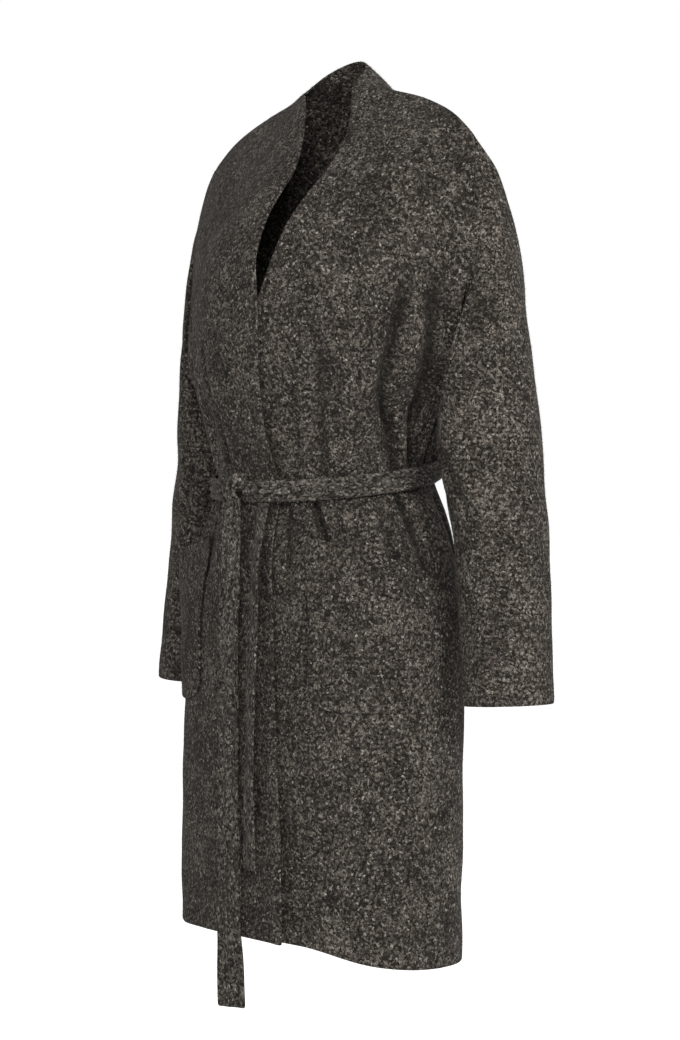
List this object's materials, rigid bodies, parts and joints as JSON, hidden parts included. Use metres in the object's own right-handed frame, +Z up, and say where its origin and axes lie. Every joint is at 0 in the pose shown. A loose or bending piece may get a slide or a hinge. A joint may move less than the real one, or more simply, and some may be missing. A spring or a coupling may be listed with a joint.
{
  "type": "wrap cardigan",
  "caption": "Long knitted wrap cardigan with a standing shawl collar, dropped shoulders, long sleeves, patch pockets and a tie belt, filled out with no wearer.",
  "frame": {"origin": "middle of the shoulder line, between the two points where the shoulder seams meet the neck", "axes": "+X to the wearer's left, -Y out of the front, +Z up along the body"},
  "size_m": [0.604, 0.2501, 1.05],
  "materials": {
    "knit": "brushed marled charcoal knit",
    "belt_knit": "marled charcoal knit strip",
    "thread": "plied thread"
  },
  "bodies": {
    "root": {"left_front": "knit", "right_front": "knit", "back": "knit", "collar": "knit", "left_sleeve": "knit", "right_sleeve": "knit", "left_pocket": "knit", "right_pocket": "knit", "belt": "belt_knit", "belt_knot": "belt_knit", "belt_tail_long": "belt_knit", "belt_tail_short": "belt_knit", "left_belt_loop": "thread", "right_belt_loop": "thread"}
  },
  "joints": []
}
